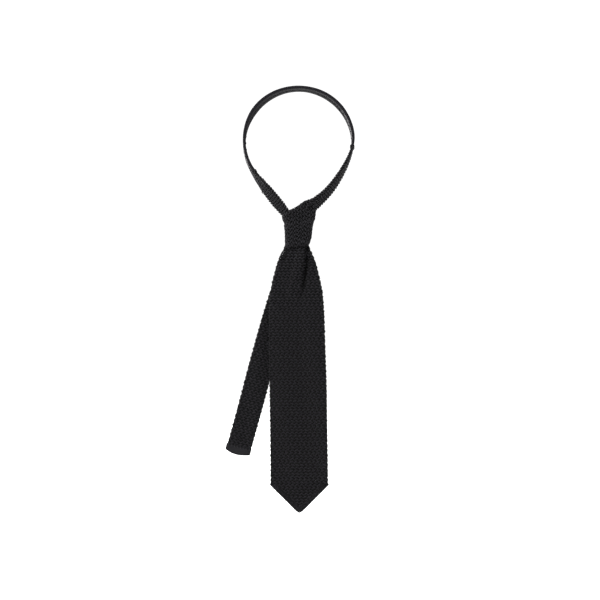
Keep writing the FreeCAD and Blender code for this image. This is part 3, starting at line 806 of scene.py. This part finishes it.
# Half the width of a strap, and half its thickness less its yarn.
STRAP_HALF = profile(
    (0, 5.0), (LEFT_TILT - 28, 6.5), (LEFT_TILT, 10.2), (LEFT_SEAM, 12.0), (RIGHT_SEAM, 12.0),
    (RIGHT_TILT, 10.2), (RIGHT_TILT + 16, 9.0), (RIGHT_TILT + 30, 6.0), (LOOP_END, 5.0),
)
STRAP_THICK = profile(
    (0, 1.4), (LEFT_TILT, 1.3), (LEFT_SEAM - 10, 0.7), (LEFT_SEAM, 0.4), (RIGHT_SEAM, 0.4),
    (RIGHT_SEAM + 12, 0.8), (RIGHT_TILT, 1.3), (LOOP_END, 1.4),
)
# How far behind the loop's middle it lies: the right strap comes forward inside the knot.
STRAP_LAYER = profile((0, 0.0), (RIGHT_TILT, 0.0), (RIGHT_TILT + 22, -3.0), (LOOP_END, -3.0))


def stadium(share, half_width, half_thick):
    """Across and outwards, round a flat section with round edges. share goes 0 to 1."""
    flat = 2 * (half_width - half_thick)
    bend = math.pi * half_thick
    run = (share % 1.0) * (2 * flat + 2 * bend)
    first = np.clip(run, 0, flat)
    turn_1 = np.clip(run - flat, 0, bend) / half_thick
    second = np.clip(run - flat - bend, 0, flat)
    turn_2 = np.clip(run - 2 * flat - bend, 0, bend) / half_thick
    turn = turn_1 + turn_2
    across = -flat / 2 + first - second + half_thick * (np.sin(turn_1) - np.sin(turn_2))
    return across, half_thick * np.cos(turn)


def on_band(run, across, outward):
    """A place on the band: run along the loop, across its width, and outwards from its middle."""
    x, z = (np.interp(run, LOOP_RUN, LOOP_POINTS[:, k]) for k in range(2))
    tx, tz = (np.interp(run, LOOP_RUN, LOOP_ALONG[:, k]) for k in range(2))
    size = np.hypot(tx, tz)
    tx, tz = tx / size, tz / size
    tilt = np.radians(BAND_TILT(run))
    out = across * np.sin(tilt) + outward * np.cos(tilt)
    y = MIDDLE_Y + STRAP_LAYER(run) + across * np.cos(tilt) - outward * np.sin(tilt)
    return points_at(x - tz * out, y, z + tx * out)


STRAP_WALES = 11     # columns of stitches round a strap


def strap_surface(s, run):
    around = -s / (STRAP_WALES * WALE)
    return on_band(run, *stadium(around, STRAP_HALF(run), STRAP_THICK(run)))


def make_straps():
    def limits(_):
        return 0.0, STRAP_WALES * WALE
    tilting = ("straps", "neck_loop")
    fold = ((0, MIDDLE_Y * MM, (TILT_Z - 7) * MM), (0, MIDDLE_Y * MM, (TILT_Z + 9) * MM))
    part_left = LEFT_TILT + 16.0
    part_right = RIGHT_TILT - 16.0
    spans = (
        ("left_strap_upper", part_left, LEFT_SEAM + 1.0, "neck_loop", None),
        ("left_strap_lower", 6.0, part_left, tilting, fold),
        ("right_strap_upper", RIGHT_SEAM - 1.0, part_right, "neck_loop", None),
        ("right_strap_lower", part_right, LOOP_END - 6.0, tilting, fold),
    )
    for node, first, last, bodies, bend in spans:
        piece = knit("knit_" + node, strap_surface, first, last, limits)
        hang(piece, bodies, bend, node)


BAND_HALF_THICK = 1.55   # of the satin
LEFT_SLANT = -22.0       # the left seam runs this much lower at the band's back edge


def band_tube(name, first, last, half, thick, material, slot, slant=0.0):
    """A closed tube of woven cloth along the loop. slant moves the first end's back edge."""
    share = np.arange(56) / 56
    across, outward = stadium(share, half, thick)
    back = ease((across / half + 1) / 2)
    steps = np.linspace(0, 1, max(24, int((last - first) / 1.5)))[:, None]
    run = first + slant * back + (last - first - slant * back) * steps
    width = half * np.minimum(1.0, (STRAP_HALF(run) + 0.5) / (BAND_WIDTH / 2))
    points = on_band(run, *stadium(share[None, :], width, thick))
    middle = on_band(run, *stadium(share[None, :], width, thick * 0.5))
    groove = 0.5 * np.exp(-(across / 0.7) ** 2) * (outward < 0)   # where its edges meet inside
    pucker = 0.06 * ripple(across, run * 0.5, 6)
    share_in = ((groove + pucker) / (thick * 0.5))[..., None]
    points = points + (middle - points) * share_in
    cloth = Cloth()
    cloth.sleeve(points)
    return cloth.finish(name, material, slot)


def make_neck_band():
    cover = band_tube("satin_neck_band", LEFT_SEAM, RIGHT_SEAM, BAND_WIDTH / 2 - 0.2, BAND_HALF_THICK,
                      SATIN, "satin", LEFT_SLANT)
    hang(cover, "neck_loop", node="neck_band_cover")
    core = band_tube("band_interlining", LEFT_SEAM + 2.0, RIGHT_SEAM - 2.0, BAND_WIDTH / 2 - 1.4, 0.9,
                     CANVAS, "interlining")
    hang(core, "neck_loop", node="neck_band_interlining")


# ---------------- knot

# The knot's left and right sides, by height.
KNOT_LEFT = profile((-26, -12.0), (-15, -12.9), (-5, -13.1), (4, -13.9), (8, -15.9), (14, -17.2),
                    (20, -17.6))
KNOT_RIGHT = profile((-26, 9.8), (-17, 11.8), (-12, 13.4), (-4, 14.3), (4, 15.7), (10, 17.8),
                     (16, 18.6), (30, 19.6))
KNOT_HALF_DEPTH = 10.1
KNOT_CORNER = 7.2    # radius of its upright corners
KNOT_ROUND = 82.0    # length round the knot's level section
WRAP_SLOPE = 0.15    # the wrap climbs to the right
WRAP_FOOT, WRAP_HEAD = -19.4, 5.6
WRAP_ROLL = 1.5      # how widely the wrap's edges turn in
WRAP_TURNED = 3.4    # how much of it is turned in there
FOLD_ROLL = 2.4      # how widely the top fold turns over
FOLD_FOOT = -1.0     # the top fold starts here, under the wrap
FOLD_MIDDLE = 14.0   # the height at which its place round the knot is measured
FOLD_TOP = profile((-18, 13.5), (-13, 17.0), (-9, 18.8), (-2, 21.6), (6, 26.3), (12, 28.6), (19, 31.0))


def knot_point(share, z, inward, belly=0.0):
    """A place on the knot's outline, a rectangle with round corners. share runs round it
    from the middle of its right side: a quarter is the middle of its face."""
    left, right = KNOT_LEFT(z), KNOT_RIGHT(z)
    half = (right - left) / 2 - inward
    depth = KNOT_HALF_DEPTH - inward
    corner = np.maximum(KNOT_CORNER - inward, 1.0)
    side, face, arc = depth - corner, half - corner, corner * math.pi / 2
    left_to_go = (share % 1.0) * 4 * (side + face + arc)
    x, ahead = half, 0.0
    onward, inward_turn = np.array([0, 1]), np.array([-1, 0])
    for straight in (side, 2 * face, 2 * side, 2 * face, side):
        run = np.clip(left_to_go, 0, straight)
        turn = np.clip(left_to_go - straight, 0, arc) / corner
        left_to_go = left_to_go - straight - arc
        forward, sideways = run + corner * np.sin(turn), corner * (1 - np.cos(turn))
        x = x + forward * onward[0] + sideways * inward_turn[0]
        ahead = ahead + forward * onward[1] + sideways * inward_turn[1]
        onward, inward_turn = inward_turn, -onward
    swell = belly * np.maximum(1 - (x / half) ** 2, 0) * (ahead > 0)
    return (left + right) / 2 + x, MIDDLE_Y - ahead - swell


def turned(run, length, radius):
    """A cloth edge that turns in at both ends: height above the edge, and depth inwards."""
    below = np.clip(-run / radius, 0, math.pi)
    above = np.clip((run - length) / radius, 0, math.pi)
    height = radius + np.clip(run, 0, length) - radius * np.sin(below) + radius * np.sin(above)
    return height, radius * (1 - np.cos(below)) + radius * (1 - np.cos(above))


def wrap_surface(s, v):
    """The level wrap: s climbs its width, and v runs round the knot from the right side."""
    tall = WRAP_HEAD - WRAP_FOOT
    height, inward = turned(s, tall - 2 * WRAP_ROLL, WRAP_ROLL)
    swell = 0.9 * np.sin(np.clip(height / tall, 0, 1) * math.pi)
    x, y = knot_point(v / KNOT_ROUND, WRAP_FOOT + height, inward, swell)
    z = WRAP_FOOT + height + WRAP_SLOPE * x
    return points_at(x, y, z)


def fold_height(v):
    """How tall the top fold stands at a place round the knot, before it turns over."""
    x, _ = knot_point(v / KNOT_ROUND, FOLD_MIDDLE, 0.0)
    return FOLD_TOP(x) - FOLD_FOOT - FOLD_ROLL


def fold_surface(s, v):
    """The cloth that comes up through the neck loop and turns down under the wrap."""
    share = v / KNOT_ROUND
    tall = fold_height(v)
    over = np.clip((s - tall) / FOLD_ROLL, 0, math.pi)
    past = np.maximum(s - tall - math.pi * FOLD_ROLL, 0)
    x, _ = knot_point(share, FOLD_MIDDLE, 0.0)
    z = FOLD_FOOT + np.minimum(s, tall) + FOLD_ROLL * np.sin(over) - past
    rise = np.clip(s / tall, 0, 1)
    ahead = (share % 1.0) < 0.5
    leaning = np.where(ahead, 1.0 + 1.2 * rise ** 2 - 0.7 * rise, 0.6)
    lip = 1.6 * np.exp(-((x - 16.0) / 3.4) ** 2) * ease((rise - 0.35) / 0.4) * ahead
    dimple = 1.5 * np.exp(-((x - 11.0) / 3.4) ** 2) * np.exp(-((z - 21.0) / 4.5) ** 2) * ahead
    inward = leaning - lip * 0.4 + dimple + FOLD_ROLL * (1 - np.cos(over))
    x, y = knot_point(share, z, inward, 0.4)
    return points_at(x, y, z)


KNOT_GAUGE = Gauge(wale=4.2, course=2.8, size=0.98, relief=0.45)   # pulled tight round the knot
PASS_WALES = 6       # columns of stitches round a gathered band inside the knot


def flat_tube(middle_y, half, place=None):
    """Surface of a gathered band inside the knot, that hangs straight down."""
    def surface(s, v):
        across, ahead = stadium(-s / (PASS_WALES * WALE), half, 1.4)
        points = points_at(across, middle_y - ahead, v)
        return place(points) if place else points
    return surface


def wrap_limits(_):
    return -WRAP_TURNED, WRAP_HEAD - WRAP_FOOT - 2 * WRAP_ROLL + WRAP_TURNED


def fold_limits(v):
    return 0.0, fold_height(v) + math.pi * FOLD_ROLL + 7.0


def make_knot():
    half_round = KNOT_ROUND / 2 + 1.5
    pieces = (
        ("knot_front_wrap", wrap_surface, -1.5, half_round, wrap_limits),
        ("knot_back_wrap", wrap_surface, half_round, KNOT_ROUND - 1.5, wrap_limits),
        ("knot_top_fold", fold_surface, -1.0, KNOT_ROUND - 1.0, fold_limits),
    )
    for node, surface, first, last, limits in pieces:
        piece = knit("knit_" + node, surface, first, last, limits, KNOT_GAUGE)
        hang(piece, "knot", node=node)
    passing = (
        ("blade_pass_through", flat_tube(BLADE_MIDDLE + TUCKED_IN, 7.5), -24.0, 15.0),
        ("tail_pass_through", flat_tube(TAIL_MIDDLE, 5.5, lean), -24.0, 13.0),
    )
    for node, surface, first, last in passing:
        piece = knit("knit_" + node, surface, first, last, lambda _: (0.0, PASS_WALES * WALE))
        hang(piece, "knot", node=node)


# ---------------- sewing

BACKWARDS = np.array([0.0, 1.0, 0.0])
THREAD_RADIUS = 0.38


def sew(name, stitches, bodies, node=None, bend=None):
    """One piece of sewing. Each stitch is an arch of thread that comes out of the cloth and
    goes back in, given by its start, its end, how high it rises and which way."""
    cloth = Cloth()
    share = np.linspace(0, 1, 9)[:, None]
    for start, end, rise, out in stitches:
        start, end = np.array(start), np.array(end)
        path = start + (end - start) * share + out * rise * (np.sin(math.pi * share) - 0.5)
        cloth.tube(path, out, THREAD_RADIUS, 8)
    hang(cloth.finish(name, THREAD, "thread"), bodies, bend, node)


def seam_run(top, bottom, y, place=None, pitch=6.0):
    """Slanted slip stitches down a centre-back seam."""
    for i in range(int((top - bottom) / pitch)):
        z = top - pitch * (i + 0.5)
        ends = np.array([[-1.15, y, z + 2.0], [1.15, y, z - 2.0]])
        ends = place(ends) if place else ends
        yield ends[0], ends[1], 1.0, BACKWARDS


def make_blade_sewing():
    y = BLADE_BACK + 0.35
    sew("thread_blade_seam_upper", seam_run(-66, -102, y), "blade_upper", "blade_seam_upper")
    sew("thread_blade_seam_middle", seam_run(-102, -170, y), ("blade_upper", "blade_lower"),
        bend=BLADE_BEND)
    sew("thread_blade_seam_lower", seam_run(-190, -232, y), "blade_lower", "blade_seam_lower")
    bars = [((-3.4, y, z), (3.4, y, z), 0.5, BACKWARDS) for z in (-235.2, -236.2, -237.2, -238.2)]
    bars += [((x, y, -234.6), (x, y, -238.8), 1.0, BACKWARDS) for x in (-2.2, -0.7, 0.8, 2.3)]
    sew("thread_blade_bar_tack", bars, "blade_lower", "blade_bar_tack")
    hems = []
    for side in (-1, 1):
        for x in 2.6 + 3.9 * np.arange(7):
            z = TIP_Z + x + 12.9
            hems.append(((side * x, y - 0.3, z), (side * (x + 2.0), y - 0.3, z + 0.1), 1.0, BACKWARDS))
    sew("thread_hem", hems, "blade_lower", "blade_hem_stitches")


KEEPER_BOW = 2.0     # how far the keeper stands off the wide end's back


def make_keeper():
    """The satin loop behind the wide end, bowed so that the narrow end passes through."""
    low, high = box("keeper_loop")
    x = np.linspace(low[0], high[0], 90)[:, None]
    pinch = 1 - 0.05 * ease((np.abs(x) - 18.0) / 4.0)
    across, out = stadium(np.arange(40) / 40, (high[2] - low[2]) / 2 * pinch, 0.42)
    stand = ease((21.0 - np.abs(x)) / 7.0)
    wrinkle = 0.25 * np.sin(x * 0.4) * stand + 0.12 * np.sin(across * 1.3 + x * 0.2)
    y = BLADE_BACK + 0.55 + KEEPER_BOW * stand + out + wrinkle
    cloth = Cloth()
    cloth.sleeve(points_at(x, y, (low[2] + high[2]) / 2 - across))
    piece = cloth.finish("satin_keeper", KEEPER_SATIN, "satin")
    hang(piece, "blade_lower", node="keeper_loop")
    stitches = []
    for side in (-1, 1):
        for z in low[2] + 1.4 + 2.3 * np.arange(5):
            start = (side * 19.6, BLADE_BACK + 1.15, z)
            end = (side * 23.2, BLADE_BACK + 0.6, z + 0.5)
            stitches.append((start, end, 0.7, BACKWARDS))
    sew("thread_keeper", stitches, "blade_lower", "keeper_stitches")


def make_tail_sewing():
    y = TAIL_MIDDLE + TAIL_ROUND + 1.0
    fold = -TAIL_BEND_REACH
    seams = (
        ("upper", -46, fold + 22, "tail_upper", "tail_seam_upper", None),
        ("middle", fold + 22, fold - 22, ("tail_upper", "tail_lower"), None, TAIL_FOLD),
        ("lower", fold - 22, -TAIL_REACH + 16, "tail_lower", "tail_seam_lower", None),
    )
    for name, top, bottom, bodies, node, bend in seams:
        sew(f"thread_tail_seam_{name}", seam_run(top, bottom, y, lean, 7.0), bodies, node, bend)
    stitches = []
    for face in (-1, 1):
        for x in -11.4 + 3.2 * np.arange(8):
            start = lean(np.array([x, TAIL_MIDDLE + face * 2.2, TAPE_TOP + 0.3]))
            end = lean(np.array([x + 0.5, TAIL_MIDDLE + face * 2.4, TAPE_TOP - 2.0]))
            stitches.append((start, end, 0.7, face * BACKWARDS))
    sew("thread_tail_tape", stitches, "tail_lower", "tail_tape_stitches")


def band_stitch(run, across, length, slant, face, off, rise):
    """A stitch on the inner (-1) or outer (1) face of the band, off its middle by so much."""
    start = on_band(run, across, face * off)
    end = on_band(run + length, across + slant, face * off)
    return start, end, rise, on_band(run, across, face * (off + 1)) - start


def make_band_sewing():
    slips = []
    for run in np.arange(LEFT_SEAM + 10, RIGHT_SEAM - 6, 7.0):
        slips.append(band_stitch(run, -0.8, 3.0, 1.6, -1, BAND_HALF_THICK, 0.5))
    sew("thread_band_slip", slips, "neck_loop", "neck_band_slip_stitches")
    for name, seam, slant in (("left", LEFT_SEAM, LEFT_SLANT), ("right", RIGHT_SEAM, 0.0)):
        stitches = []
        for face in (-1, 1):
            for across in np.linspace(-10.5, 10.5, 9):
                run = seam + slant * ease((across / 11.6 + 1) / 2) - 1.4
                stitches.append(band_stitch(run, across, 2.8, 0.7, face, BAND_HALF_THICK + 0.15, 0.7))
        sew(f"thread_{name}_join", stitches, "neck_loop", f"{name}_join_stitches")


# ---------------- setting

FLOOR_GAP = 28.0     # between the point of the tie and the floor
LIGHTS = (
    # name, place in metres, size in metres, watts
    ("key_light", (-0.9, -1.1, 0.9), 0.9, 26.0),
    ("fill_light", (1.2, -0.9, 0.3), 1.2, 8.0),
    ("side_light", (-1.4, -0.4, 0.05), 0.7, 12.0),
    ("top_light", (0.1, 0.2, 1.3), 1.0, 8.0),
    ("back_light", (-0.7, 1.2, 0.6), 1.2, 26.0),
    ("edge_light", (1.3, 0.6, 0.1), 1.0, 7.0),
)


def make_world():
    """A white surround for the camera, and a dim one for everything it lights."""
    world = bpy.data.worlds.new("studio")
    bpy.context.scene.world = world
    world.use_nodes = True
    tree = world.node_tree
    dim = tree.nodes["Background"]
    white = tree.nodes.new("ShaderNodeBackground")
    for background, strength in ((dim, 0.2), (white, 1.1)):
        background.inputs["Color"].default_value = (1, 1, 1, 1)
        background.inputs["Strength"].default_value = strength
    mix = tree.nodes.new("ShaderNodeMixShader")
    rays = tree.nodes.new("ShaderNodeLightPath")
    tree.links.new(rays.outputs["Is Camera Ray"], mix.inputs["Fac"])
    tree.links.new(dim.outputs[0], mix.inputs[1])
    tree.links.new(white.outputs[0], mix.inputs[2])
    tree.links.new(mix.outputs[0], tree.nodes["World Output"].inputs["Surface"])


def make_floor():
    """A wide pale floor that shows as plain white, so that it has no horizon."""
    n = Nodes("pale_floor")
    n.fill(n.shader, {
        "Base Color": (0.75, 0.75, 0.75, 1), "Roughness": 0.95, "Specular IOR Level": 0.1,
        "Emission Color": (1, 1, 1, 1),
        "Emission Strength": n.node("ShaderNodeLightPath").outputs["Is Camera Ray"],
    })
    reach, drop = 30.0, (TIP_Z - FLOOR_GAP) * MM
    corners = [(x * reach, y * reach, drop) for x, y in ((-1, -1), (1, -1), (1, 1), (-1, 1))]
    mesh = bpy.data.meshes.new("floor")
    mesh.from_pydata(corners, [], [(0, 1, 2, 3)])
    mesh.materials.append(n.material)
    new_object("floor", mesh)


def make_lights_and_camera():
    bpy.context.scene.view_settings.view_transform = "Standard"
    target = Vector((0.0, MIDDLE_Y * MM, -0.075))
    for name, place, size, power in LIGHTS:
        light = bpy.data.lights.new(name, "AREA")
        light.size, light.energy = size, power
        lamp = new_object(name, light)
        lamp.location = place
        lamp.rotation_mode = "QUATERNION"
        lamp.rotation_quaternion = (Vector(place) - target).to_track_quat("Z", "Y")
    camera = new_object("camera", bpy.data.cameras.new("camera"))
    camera.data.lens = 85.0
    camera.data.sensor_width = 36.0
    camera.location = (0.0021, MIDDLE_Y * MM - 1.49, -0.0758)
    camera.rotation_euler = (math.pi / 2, 0, 0)
    bpy.context.scene.camera = camera


make_blade()
make_tip_hem()
make_tail()
make_tail_tape()
make_straps()
make_neck_band()
make_knot()
make_blade_sewing()
make_keeper()
make_tail_sewing()
make_band_sewing()
make_world()
make_floor()
make_lights_and_camera()
